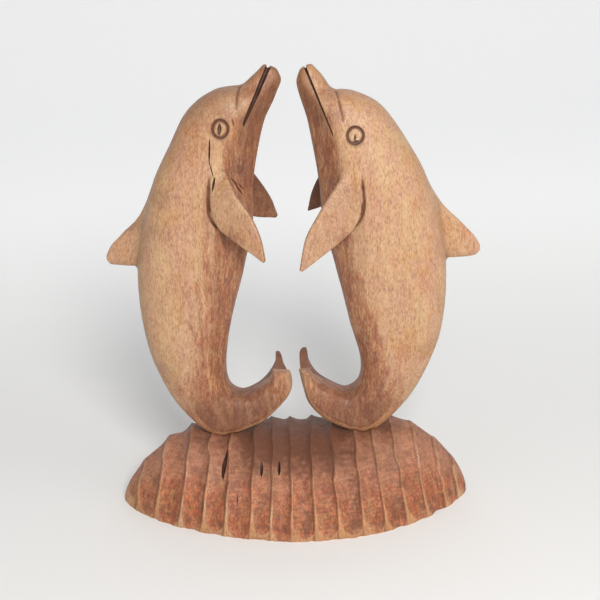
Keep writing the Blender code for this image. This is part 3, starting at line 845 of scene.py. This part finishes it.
# -------------------------------------------------------------------- paint
def paint(pair):
    """Works out where the wood is stained, worn or freshly cut, and where painted shade and painted highlights go, and
    keeps it with the mesh.
    """
    mesh = pair.data
    p, n, edges = points_of(mesh), normals_of(mesh), edges_of(mesh)
    fine = ((p - relaxed(p, edges, 4)) * n).sum(1)
    broad = ((p - relaxed(p, edges, 26)) * n).sum(1)
    convex = np.clip(fine * 7.0, 0, 1) * 0.7 + np.clip(broad * 1.3, 0, 1) * 0.5
    hollow = np.clip(-fine * 7.0, 0, 1) * 0.6 + np.clip(-broad * 1.6, 0, 1) * 0.7

    slots = np.empty(len(mesh.polygons), np.int32)
    mesh.polygons.foreach_get("material_index", slots)
    totals = np.empty(len(mesh.polygons), np.int32)
    mesh.polygons.foreach_get("loop_total", totals)
    corner_slot = np.repeat(slots, totals)
    corner_vertex = np.empty(len(mesh.loops), np.int64)
    mesh.loops.foreach_get("vertex_index", corner_vertex)
    on_mound = corner_slot == 1
    vertex_mound = np.bincount(corner_vertex, weights=on_mound, minlength=len(p)) > 0

    side = np.sign(p[:, 0])
    u, y, z = np.abs(p[:, 0]), p[:, 1], p[:, 2]
    streak = fractal(np.stack([p[:, 0] / 3.0, p[:, 1] / 3.0, p[:, 2] / 22.0], 1), 3, 61)
    patch = fractal(p / 16.0, 3, 71)

    # dolphins: the stain lies on the belly side of a line, with a streaky edge
    line = np.where(side < 0, np.interp(z, *np.array(LEFT_STAIN, float).T), np.interp(z, *np.array(RIGHT_STAIN, float).T))
    soft = np.where(z > 240, 4.0, 9.0)
    stain = step(soft, -soft * 0.6, u - line + (streak - 0.5) * 26 + (patch - 0.5) * 14)
    tail = step(92, 70, z) * step(72, 60, u)
    stain = np.maximum(stain, tail * 0.95)
    # the chamfer along the tail's outer edge is nearly bare
    away = np.stack([p[:, 0] - side * 34, z - 104], 1)
    away /= np.linalg.norm(away, axis=1)[:, None]
    outer = step(100, 96, z) * step(70, 62, u) * step(0.38, 0.50, n[:, 0] * away[:, 0] + n[:, 2] * away[:, 1])
    # the far lobe, seen past the near one, is painted dark: stain and painted shade
    far_lobe = step(-1, 2, y) * step(82, 85, z) * step(104, 103, z) * step(30, 24, u)
    outer = outer * (1 - far_lobe)
    stain = np.maximum(stain * (1 - 0.75 * outer), far_lobe)
    blade = (z > 170) & (z < 232) & (u < 48) & (np.abs(y) > 25.5)
    stain = np.where(blade & (y < 0), stain * 0.12, stain)
    stain = np.where((y > 8) & (u < 34) & (z > 170) & (z < 232), np.maximum(stain, 0.8), stain)

    # the listed patches, broken up along the grain
    px, py = frame_places(p)
    facing = step(0.05, -0.25, n @ np.array(look)) * (1 - vertex_mound)
    pots = {name: np.zeros(len(p)) for name in ("red", "amber", "mauve", "pale")}
    broken = fractal(np.stack([p[:, 0] / 2.6, p[:, 1] / 2.6, p[:, 2] / 9.0], 1), 2, 83)
    for x, at, wide, tall, pot, strength in PATCHES:
        reach = np.hypot((px - x) / wide, (py - at) / tall) + (broken - 0.5) * 1.3
        pots[pot] = np.maximum(pots[pot], strength * step(1.35, 0.45, reach) * facing)
    stain = np.clip(stain + 0.8 * pots["red"] + 0.45 * pots["amber"] * (side < 0), 0, 1)

    ridge, flank, uncut, height, number = mound_paint(p)
    low = step(0.75, 0.35, height)
    mound_stain = np.clip(0.72 + 0.35 * low + (patch - 0.5) * 0.9 + 0.3 * (hashed(number, 3, 1, 9) - 0.5), 0, 1) * (1 - 0.5 * ridge) * (1 - 0.7 * uncut)
    stain = np.where(vertex_mound, mound_stain, stain)

    # on the mound, greyer up the slope: a painted reflection of the sky; on the figures, the mauve patches
    grey = np.where(vertex_mound, step(0.45, 0.9, height) * (0.6 + 0.8 * (patch - 0.3)), pots["mauve"])
    left_head = np.where(side < 0, step(228, 262, z), 0.6 * step(262, 276, z)) * (1 - vertex_mound)
    left_head = np.clip(np.maximum(left_head * (1 - 0.8 * pots["pale"]), pots["amber"]), 0, 1)
    # lighter: bare wood on the tail chamfers and the uncut mound, with painted highlights on the mound's ridge crests
    # and at the pale patches
    bare_and_highlight = np.where(vertex_mound, np.clip(0.9 * ridge * (0.35 + patch) + 0.75 * uncut, 0, 1), np.maximum(0.8 * outer, 0.6 * pots["pale"]))
    # painted shade: darker in hollows, partly stain that gathers there, and along the shaded flank of each mound ridge
    shade_and_blots = np.where(vertex_mound, 0.35 * hollow + 0.8 * flank * (0.5 + 0.9 * patch), hollow)
    # painted shade on the mound's top between the tails, which the figures keep from the light
    top = step(33, 47, z + 9 * (streak - 0.5)) * step(48, 20, u + 10 * (patch - 0.5))
    shade_and_blots += np.where(vertex_mound, 1.05 * top, 0.0)
    # the mound has dark blotches, most of them low down and at its ends
    blotch = fractal(p / np.array([6.5, 6.5, 9.0]), 3, 97)
    shade_and_blots += np.where(vertex_mound, step(0.50, 0.66, blotch) * (0.46 - 0.26 * height) * (1 - uncut), 0.0)
    shade_and_blots += np.where(vertex_mound, 0.05 * hashed(number, 5, 2, 4) * (1 - uncut), 0.0)
    jaw = np.where(side < 0, np.interp(z, (260.6, 278.6, 298.5), (25.2, 17.0, 7.2)), np.interp(z, (253.8, 275.0, 297.0), (29.4, 21.2, 12.0)))
    lower = step(1.5, -1.5, u - jaw) * step(252, 266, z)
    upper = step(-1.5, 1.5, u - jaw) * step(258, 272, z)
    shade = 0.54 * lower + upper * np.where(side < 0, 0.22, 0.20 * step(38, 30, u)) + 0.10 * (side < 0) * step(236, 262, z)
    shade += 0.68 * tail * (1 - outer) + 0.26 * pots["red"] + 0.75 * far_lobe + 0.07 * (side < 0) + np.where((np.abs(y) > 25.5) & (z > 170) & (z < 232) & (u < 48), np.where(side < 0, 0.07, 0.19), 0.0)
    shade += np.where((y > 10) & (u < 34) & (z > 170) & (z < 232), np.where(side < 0, 0.36, 0.72), 0.0)
    # painted shade on the thin inner edge of each near flipper, which faces away from the light; its arris bare
    thick = (y < -20) & (z > 172) & (z < 236) & (u < 40) & (side * n[:, 0] < -0.45)
    shade += np.where(thick, np.where(side < 0, 0.55, 0.15), 0.0)
    throat = step(34, 22, u) * step(190, 215, z) * step(268, 250, z) * (1 - step(-20, -27, y))
    shade_and_blots += np.where(vertex_mound, 0.0, shade * (0.55 + 0.9 * streak) + np.where(side < 0, 0.34, 0.20) * throat)
    # painted contact shadow on the mound where the tails sit
    seat = step(7.0, 1.0, np.abs(z - 50 - 0.06 * np.abs(u - 50))) * step(76, 66, u) * step(24, 32, u) * step(-30, -4, y)
    shade_and_blots += np.where(vertex_mound, 0.5 * seat, 0.0)
    # painted shade in the groove of each eye ring
    rings = np.zeros(len(p))
    for place, x_axis, z_axis, size in eye_places:
        off = p - np.array(place)
        r = np.hypot(off @ np.array(x_axis) / size[0], off @ np.array(z_axis) / size[1])
        near = (r < 1.4) & (np.abs(off[:, 1]) < 6)
        dark = np.exp(-((r - 0.81) / 0.15) ** 2)
        shade_and_blots = np.where(near, np.clip(shade_and_blots, 0, 0.3) + 0.85 * dark, shade_and_blots)
        rings = np.maximum(rings, np.where(near, 0.62 * dark, 0.0))
    shade_and_blots = np.clip(np.maximum(shade_and_blots, 0.97 * far_lobe * (1 - vertex_mound)), 0, 1)

    def keep(name, r, g, b, a):
        layer = mesh.attributes.new(name, "FLOAT_COLOR", "CORNER")
        data = np.stack([v[corner_vertex] if len(v) == len(p) else v for v in (r, g, b, a)], 1).astype(np.float32)
        layer.data.foreach_set("color", data.reshape(-1))

    keep("wear_and_painted_light", stain, shade_and_blots, np.clip(convex, 0, 1), bare_and_highlight)
    keep("place", on_mound.astype(float), np.maximum(corner_slot == 2, rings[corner_vertex]), np.clip(grey, 0, 1), left_head)
    for f in mesh.polygons:
        f.material_index = 0
    mesh.materials.clear()
    mesh.materials.append(finishes[0])


# ----------------------------------------------------------------- material
class Graph:
    """Short names for building a shader."""

    def __init__(self, material):
        material.use_nodes = True
        self.tree = material.node_tree
        self.shader = self.tree.nodes["Principled BSDF"]

    def node(self, kind, **settings):
        made = self.tree.nodes.new(kind)
        for key, value in settings.items():
            setattr(made, key, value)
        return made

    def put(self, socket, value):
        if isinstance(value, bpy.types.NodeSocket):
            self.tree.links.new(value, socket)
        else:
            socket.default_value = value

    def math(self, operation, a, b=0.0, clamp=False):
        made = self.node("ShaderNodeMath", operation=operation, use_clamp=clamp)
        self.put(made.inputs[0], a)
        self.put(made.inputs[1], b)
        return made.outputs[0]

    def fused(self, a, b, c):
        made = self.node("ShaderNodeMath", operation="MULTIPLY_ADD")
        for socket, value in zip(made.inputs, (a, b, c)):
            self.put(socket, value)
        return made.outputs[0]

    def mix(self, factor, a, b, blend="MIX"):
        made = self.node("ShaderNodeMix", data_type="RGBA", blend_type=blend)
        self.put(made.inputs[0], factor)
        self.put(made.inputs[6], a if isinstance(a, bpy.types.NodeSocket) else (*a, 1.0))
        self.put(made.inputs[7], b if isinstance(b, bpy.types.NodeSocket) else (*b, 1.0))
        return made.outputs[2]

    def scaled(self, source, x, y, z, turn=(0, 0, 0)):
        made = self.node("ShaderNodeMapping")
        self.put(made.inputs[0], source)
        made.inputs[3].default_value = (x, y, z)
        made.inputs[2].default_value = turn
        return made.outputs[0]

    def noise(self, vector, detail=2.0, rough=0.5, distort=0.0, scale=1.0):
        made = self.node("ShaderNodeTexNoise")
        self.put(made.inputs["Vector"], vector)
        made.inputs["Scale"].default_value = scale
        made.inputs["Detail"].default_value = detail
        made.inputs["Roughness"].default_value = rough
        made.inputs["Distortion"].default_value = distort
        return made.outputs[0]

    def ramp(self, value, low, high, out_low=0.0, out_high=1.0):
        made = self.node("ShaderNodeMapRange", interpolation_type="SMOOTHSTEP")
        self.put(made.inputs[0], value)
        for k, v in enumerate((low, high, out_low, out_high)):
            made.inputs[1 + k].default_value = v
        return made.outputs[0]

    def split(self, name):
        made = self.node("ShaderNodeAttribute", attribute_name=name, attribute_type="GEOMETRY")
        parts = self.node("ShaderNodeSeparateColor")
        self.put(parts.inputs[0], made.outputs["Color"])
        return parts.outputs[0], parts.outputs[1], parts.outputs[2], made.outputs["Alpha"]


TAN = (0.485, 0.305, 0.158)
PINK = (0.470, 0.250, 0.155)
AMBER = (0.455, 0.222, 0.080)
PALE = (0.60, 0.400, 0.235)
BAND = (0.44, 0.165, 0.055)
MAUVE = (0.17, 0.062, 0.052)
OCHRE = (0.52, 0.235, 0.088)
STAIN = (0.35, 0.098, 0.050)
STAIN_DEEP = (0.20, 0.062, 0.036)
MOUND_RED = (0.60, 0.138, 0.044)
MOUND_ROSE = (0.64, 0.170, 0.086)
MOUND_DEEP = (0.190, 0.036, 0.018)
UMBER = (0.13, 0.05, 0.028)
CUT_SHADE = (0.045, 0.018, 0.012)
GREY_WOOD_AND_SHEEN = (0.40, 0.182, 0.122)
ROSE = (0.42, 0.205, 0.150)
HONEY = (0.40, 0.148, 0.056)


def finish_wood(material):
    g = Graph(material)
    coords = g.node("ShaderNodeTexCoord").outputs["Object"]
    stain, shade_and_blots, edge, bare_and_highlight = g.split("wear_and_painted_light")
    mound, cut, grey, head = g.split("place")

    # broad figure of the wood: grain runs up the piece
    broad = g.noise(g.scaled(coords, 70, 70, 11), 3, 0.55, 0.6)
    patches = g.noise(g.scaled(coords, 42, 42, 30), 3, 0.6, 0.4)
    streak = g.noise(g.scaled(coords, 420, 420, 22), 3, 0.6, 0.25)
    fine = g.noise(g.scaled(coords, 1250, 1250, 85), 2, 0.6)
    colour = g.mix(g.ramp(broad, 0.35, 0.65), TAN, PINK)
    colour = g.mix(g.ramp(patches, 0.51, 0.64, 0.0, 0.62), colour, AMBER)
    colour = g.mix(g.ramp(streak, 0.55, 0.78, 0.0, 0.36), colour, PALE)
    colour = g.mix(g.ramp(streak, 0.46, 0.28, 0.0, 0.45), colour, AMBER)

    # the stain soaks in along the grain
    soak = g.fused(streak, 0.9, -0.45)
    amount = g.math("ADD", stain, g.math("MULTIPLY", soak, g.ramp(stain, 0.02, 0.4)), clamp=True)
    run = g.noise(g.scaled(coords, 300, 300, 34), 3, 0.68, 0.5)
    red = g.mix(g.ramp(g.noise(g.scaled(coords, 330, 330, 120), 3, 0.65, 0.5), 0.42, 0.68), STAIN, STAIN_DEEP)
    red = g.mix(g.ramp(run, 0.50, 0.64, 0.0, 0.75), red, AMBER)
    red = g.mix(g.ramp(run, 0.46, 0.34, 0.0, 0.5), red, UMBER)
    tint = g.noise(g.scaled(coords, 95, 95, 38, (0.3, 0.2, 0.0)), 2, 0.55, 0.8)
    colour = g.mix(g.ramp(tint, 0.49, 0.63, 0.0, 0.55), colour, ROSE)
    colour = g.mix(g.ramp(tint, 0.46, 0.34, 0.0, 0.30), colour, PALE)
    mottle = g.noise(g.scaled(coords, 210, 210, 85), 3, 0.62, 0.5)
    colour = g.mix(g.ramp(mottle, 0.51, 0.66, 0.0, 0.46), colour, AMBER)
    colour = g.mix(g.ramp(mottle, 0.46, 0.30, 0.0, 0.45), colour, PINK)
    axes = g.node("ShaderNodeSeparateXYZ")
    g.put(axes.inputs[0], coords)
    # up the mound the wood turns rosier and greyer: partly the wood's own tone, partly a painted reflection of the sky
    level = g.ramp(g.math("ADD", axes.outputs[2], g.fused(patches, 0.03, -0.015)), 0.012, 0.036)
    earth = g.mix(level, MOUND_RED, MOUND_ROSE)
    cloud = g.noise(g.scaled(coords, 115, 115, 60), 3, 0.65, 0.6)
    earth = g.mix(g.ramp(cloud, 0.50, 0.62, 0.0, 0.62), earth, MOUND_DEEP)
    earth = g.mix(g.math("MULTIPLY", g.ramp(cloud, 0.48, 0.38), g.fused(level, 0.5, 0.1)), earth, GREY_WOOD_AND_SHEEN)
    bare = g.noise(g.scaled(coords, 190, 190, 70), 3, 0.6, 0.8)
    earth = g.mix(g.math("MULTIPLY", g.ramp(bare, 0.50, 0.60), g.fused(level, -0.45, 0.8)), earth, OCHRE)
    blot = g.noise(g.scaled(coords, 380, 380, 190), 3, 0.7, 0.9)
    earth = g.mix(g.math("MULTIPLY", g.ramp(blot, 0.51, 0.60), g.fused(level, -0.40, 0.85)), earth, MOUND_DEEP)
    dash = g.ramp(g.noise(g.scaled(coords, 1050, 1050, 300), 2, 0.6, 0.2), 0.54, 0.66)
    earth = g.mix(g.math("MULTIPLY", dash, g.fused(level, -0.40, 0.75)), earth, MOUND_DEEP)
    earth = g.mix(g.ramp(g.noise(g.scaled(coords, 620, 620, 240), 3, 0.75, 0.6), 0.47, 0.68, 0.0, 0.75), earth, MOUND_DEEP)
    earth = g.mix(g.ramp(mottle, 0.48, 0.70, 0.0, 0.45), earth, AMBER)
    red = g.mix(mound, red, earth)
    colour = g.mix(g.math("MULTIPLY", amount, g.fused(mound, 0.09, 0.88)), colour, red)
    colour = g.mix(g.math("MULTIPLY", head, g.ramp(mottle, 0.42, 0.60, 0.24, 0.80)), colour, HONEY)
    colour = g.mix(g.math("MULTIPLY", grey, 0.76), colour, g.mix(mound, MAUVE, GREY_WOOD_AND_SHEEN))
    # bare wood, which also carries the painted highlights on ridge crests and pale patches
    bare_and_highlight_colour = g.mix(mound, g.mix(g.ramp(axes.outputs[2], 0.078, 0.094), BAND, PALE), g.mix(g.ramp(patches, 0.34, 0.52), PALE, OCHRE))
    colour = g.mix(g.math("MULTIPLY", bare_and_highlight, 0.75), colour, bare_and_highlight_colour)

    # stipple on the mound, where the stain has caught in torn grain
    spots = g.noise(g.scaled(coords, 1350, 1350, 620), 2, 0.65, 0.3)
    spot = g.math("MULTIPLY", g.ramp(spots, 0.53, 0.66), g.math("MULTIPLY", mound, g.math("SUBTRACT", 1.0, bare_and_highlight)))
    colour = g.mix(g.math("MULTIPLY", spot, 0.5), colour, STAIN_DEEP)
    flecks = g.ramp(g.noise(g.scaled(coords, 900, 900, 420), 2, 0.6), 0.60, 0.74)
    colour = g.mix(g.math("MULTIPLY", g.math("MULTIPLY", flecks, mound), 0.35), colour, OCHRE)

    # open pores: short dark dashes along the grain
    pores = g.ramp(g.noise(g.scaled(coords, 1350, 1350, 250), 2, 0.6, 0.3), 0.52, 0.66)
    colour = g.mix(g.math("MULTIPLY", pores, 0.36), colour, UMBER)
    colour = g.mix(g.ramp(fine, 0.32, 0.52, 0.30, 0.0), colour, AMBER)
    colour = g.mix(g.ramp(fine, 0.56, 0.72, 0.0, 0.22), colour, PALE)

    # speckle: the torn and polished spots of open wood
    speck = g.noise(g.scaled(coords, 1000, 1000, 420), 2, 0.65, 0.2)
    colour = g.mix(g.math("MULTIPLY", g.ramp(speck, 0.50, 0.64), g.fused(mound, -0.26, 0.36)), colour, PALE)
    colour = g.mix(g.ramp(speck, 0.48, 0.36, 0.0, 0.36), colour, STAIN_DEEP)
    # and tone that comes and goes over a few millimetres along the grain
    tone = g.noise(g.scaled(coords, 300, 300, 75), 3, 0.7, 0.4)
    colour = g.mix(g.math("MULTIPLY", g.ramp(tone, 0.49, 0.39), g.fused(amount, 0.42, 0.08)), colour, STAIN_DEEP)
    colour = g.mix(g.math("MULTIPLY", g.ramp(tone, 0.52, 0.62), g.math("SUBTRACT", g.fused(amount, 0.16, 0.14), g.math("MULTIPLY", mound, 0.16))), colour, PALE)

    # painted shade in hollows, with the dark blotches; wear and a painted highlight on arrises; painted shade inside
    # cuts and eye grooves
    colour = g.mix(g.math("MULTIPLY", edge, g.fused(mound, -0.08, 0.16)), colour, PALE)
    colour = g.mix(g.math("MULTIPLY", shade_and_blots, 0.85, clamp=True), colour, UMBER)
    colour = g.mix(g.math("MULTIPLY", cut, 0.9), colour, g.mix(g.ramp(streak, 0.5, 0.75, 0.0, 0.5), CUT_SHADE, UMBER))
    g.put(g.shader.inputs["Base Color"], colour)

    g.put(g.shader.inputs["Roughness"], g.ramp(g.math("ADD", streak, g.math("MULTIPLY", mound, 0.2)), 0.3, 0.9, 0.40, 0.62))
    g.shader.inputs["Specular IOR Level"].default_value = 0.34

    # relief: grain, pores, and chatter of the gouge across the flutes
    ripple = g.node("ShaderNodeTexWave", wave_type="BANDS", bands_direction="Z", wave_profile="SIN")
    g.put(ripple.inputs["Vector"], g.scaled(coords, 1000, 1000, 1000))
    ripple.inputs["Scale"].default_value = 0.13
    ripple.inputs["Distortion"].default_value = 2.2
    ripple.inputs["Detail"].default_value = 2.0
    ripple.inputs["Detail Scale"].default_value = 0.6
    chatter = g.math("MULTIPLY", g.math("MULTIPLY", ripple.outputs[1], mound), g.ramp(patches, 0.38, 0.56))
    chatter = g.math("MULTIPLY", chatter, g.math("SUBTRACT", 1.0, bare_and_highlight, True))
    colour = g.mix(g.math("MULTIPLY", chatter, 0.24), colour, UMBER)
    g.put(g.shader.inputs["Base Color"], colour)
    relief = g.math("ADD", g.math("MULTIPLY", streak, 0.35), g.math("MULTIPLY", fine, 0.25))
    relief = g.math("SUBTRACT", relief, g.math("MULTIPLY", pores, 0.35))
    relief = g.math("ADD", relief, g.math("MULTIPLY", chatter, 0.35))
    relief = g.math("SUBTRACT", relief, g.math("MULTIPLY", spot, 0.3))
    bump = g.node("ShaderNodeBump")
    bump.inputs["Strength"].default_value = 0.55
    bump.inputs["Distance"].default_value = 0.0005
    g.put(bump.inputs["Height"], relief)
    g.put(g.shader.inputs["Normal"], bump.outputs[0])


# -------------------------------------------------------------------- stage
def plain(name, colour, rough):
    material = bpy.data.materials.new(name)
    material.use_nodes = True
    shader = material.node_tree.nodes["Principled BSDF"]
    shader.inputs["Base Color"].default_value = (*colour, 1.0)
    shader.inputs["Roughness"].default_value = rough
    shader.inputs["Specular IOR Level"].default_value = 0.2
    return material


def build_stage():
    """A pale floor that sweeps up far behind."""
    profile = [(-2600, 0.0), (1250, 0.0)]
    for k in range(1, 25):
        a = k / 24 * math.pi / 2
        profile.append((1250 + 900 * math.sin(a), 900 * (1 - math.cos(a))))
    profile.append((2150, 2600))
    verts = [(x, y, z) for y, z in profile for x in (-3000, 3000)]
    faces = [(2 * k, 2 * k + 1, 2 * k + 3, 2 * k + 2) for k in range(len(profile) - 1)]
    mesh = bpy.data.meshes.new("sweep")
    mesh.from_pydata((np.array(verts, float) * MM).tolist(), [], faces)
    mesh.shade_smooth()
    sweep = bpy.data.objects.new("sweep", mesh)
    bpy.context.scene.collection.objects.link(sweep)
    mesh.materials.append(plain("pale_sweep", (0.80, 0.795, 0.785), 0.9))
    tree = mesh.materials[0].node_tree
    shader = tree.nodes["Principled BSDF"]
    # painted light: the sweep glows, more so further back, to brighten the backdrop
    where = tree.nodes.new("ShaderNodeTexCoord")
    split = tree.nodes.new("ShaderNodeSeparateXYZ")
    glow = tree.nodes.new("ShaderNodeMapRange")
    glow.interpolation_type = "SMOOTHSTEP"
    for k, v in enumerate((-0.05, 0.8, 0.0, 0.30)):
        glow.inputs[1 + k].default_value = v
    tree.links.new(where.outputs["Object"], split.inputs[0])
    tree.links.new(split.outputs[1], glow.inputs[0])
    shader.inputs["Emission Color"].default_value = (0.97, 0.985, 1.0, 1.0)
    tree.links.new(glow.outputs[0], shader.inputs["Emission Strength"])


def area_light(name, azimuth, elevation, distance, size, power, colour=(1, 1, 1)):
    data = bpy.data.lights.new(name, "AREA")
    data.shape = "DISK"
    data.size = size
    data.energy = power
    data.color = colour
    obj = bpy.data.objects.new(name, data)
    a, e = math.radians(azimuth), math.radians(elevation)
    toward = Vector((math.sin(a) * math.cos(e), -math.cos(a) * math.cos(e), math.sin(e)))
    obj.location = AIM + toward * distance
    obj.rotation_mode = "QUATERNION"
    obj.rotation_quaternion = toward.to_track_quat("Z", "Y")
    bpy.context.scene.collection.objects.link(obj)


def light_stage():
    world = bpy.data.worlds.new("soft_surround")
    world.use_nodes = True
    back = world.node_tree.nodes["Background"]
    back.inputs[0].default_value = (0.97, 0.985, 1.0, 1.0)
    back.inputs[1].default_value = 0.45
    bpy.context.scene.world = world
    area_light("key", 10, 32, 1.5, 0.5, 20.0, (1.0, 0.985, 0.96))
    area_light("fill", 60, 25, 1.8, 1.2, 4.0, (1.0, 0.99, 0.98))


bpy.context.scene.view_settings.view_transform = "Standard"
build_stage()
light_stage()
pair = build_pair()
paint(pair)
finish_wood(finishes[0])
pair.data.shade_smooth()
pair.data.set_sharp_from_angle(angle=math.radians(42))
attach(pair, "root")
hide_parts("dolphin_pair")
